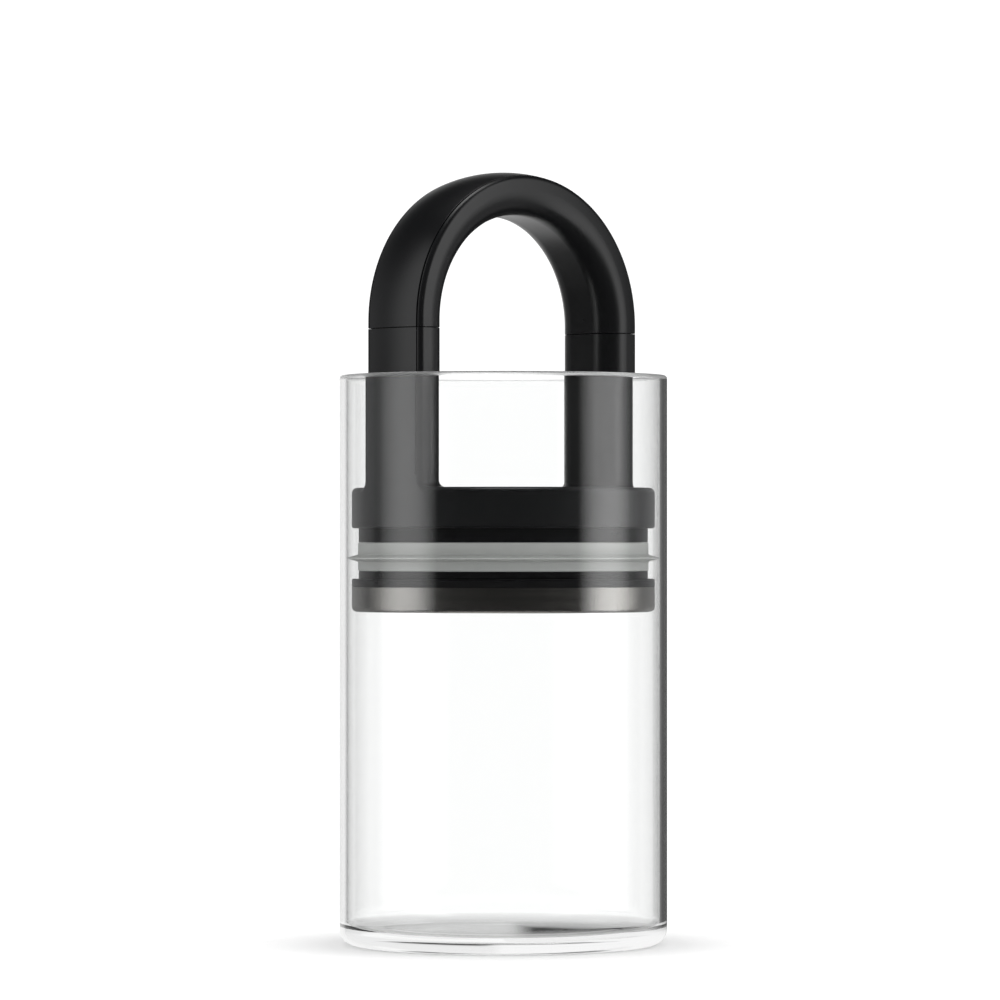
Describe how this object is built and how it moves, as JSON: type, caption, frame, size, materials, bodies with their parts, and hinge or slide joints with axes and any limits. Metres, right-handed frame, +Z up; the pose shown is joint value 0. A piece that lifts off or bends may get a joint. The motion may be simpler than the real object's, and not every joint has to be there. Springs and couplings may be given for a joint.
{
  "type": "vacuum canister",
  "caption": "Clear straight-walled glass jar with a sliding black piston lid: arched handle, wiper seal, steel underside and an air valve that the handle's bow lifts.",
  "frame": {"origin": "middle of the jar's foot, on the surface that it stands on", "axes": "+Z up along the jar's axis, X through the handle's two legs, Y through the handle's opening"},
  "size_m": [0.104, 0.104, 0.2449],
  "materials": {
    "jar_glass": "clear, polished",
    "black_plastic": "satin moulded black",
    "seal_silicone": "translucent milky silicone",
    "pan_steel": "brushed round the rim",
    "gasket_rubber": "soft matt silicone",
    "mechanism_plastic": "natural acetal",
    "spring_steel": "drawn wire",
    "fastener_steel": "plain stainless"
  },
  "bodies": {
    "jar": {"glass_jar": "jar_glass"},
    "lid": {"lid_cover": "black_plastic", "piston_core": "black_plastic", "cover_screws": "fastener_steel", "wiper_seal": "seal_silicone", "steel_pan": "pan_steel", "pan_gasket": "gasket_rubber", "vent_fitting": "black_plastic", "vent_nut": "mechanism_plastic", "return_spring": "spring_steel"},
    "bow": {"bow_inner_shell": "black_plastic", "bow_outer_shell": "black_plastic", "guide_foot_right": "black_plastic", "guide_foot_left": "black_plastic", "lift_rod_right": "fastener_steel", "lift_rod_left": "fastener_steel", "rod_nuts": "fastener_steel", "release_yoke": "mechanism_plastic", "valve_spring": "spring_steel"},
    "valve": {"valve_stem": "mechanism_plastic", "valve_disc": "gasket_rubber", "stem_clip": "fastener_steel"}
  },
  "joints": [
    {"name": "lid_slide", "type": "slide", "parent": "jar", "child": "lid", "axis": [0, 0, 1], "range_m": [-0.1, 0.12]},
    {"name": "bow_lift", "type": "slide", "parent": "lid", "child": "bow", "axis": [0, 0, 1], "range_m": [0, 0.003], "stiffness_N_per_m": 600, "springref_m": -0.004, "deforming": ["return_spring"]},
    {"name": "valve_lift", "type": "slide", "parent": "bow", "child": "valve", "axis": [0, 0, 1], "range_m": [0, 0.002], "stiffness_N_per_m": 100, "springref_m": -0.002, "deforming": ["valve_spring"]}
  ]
}
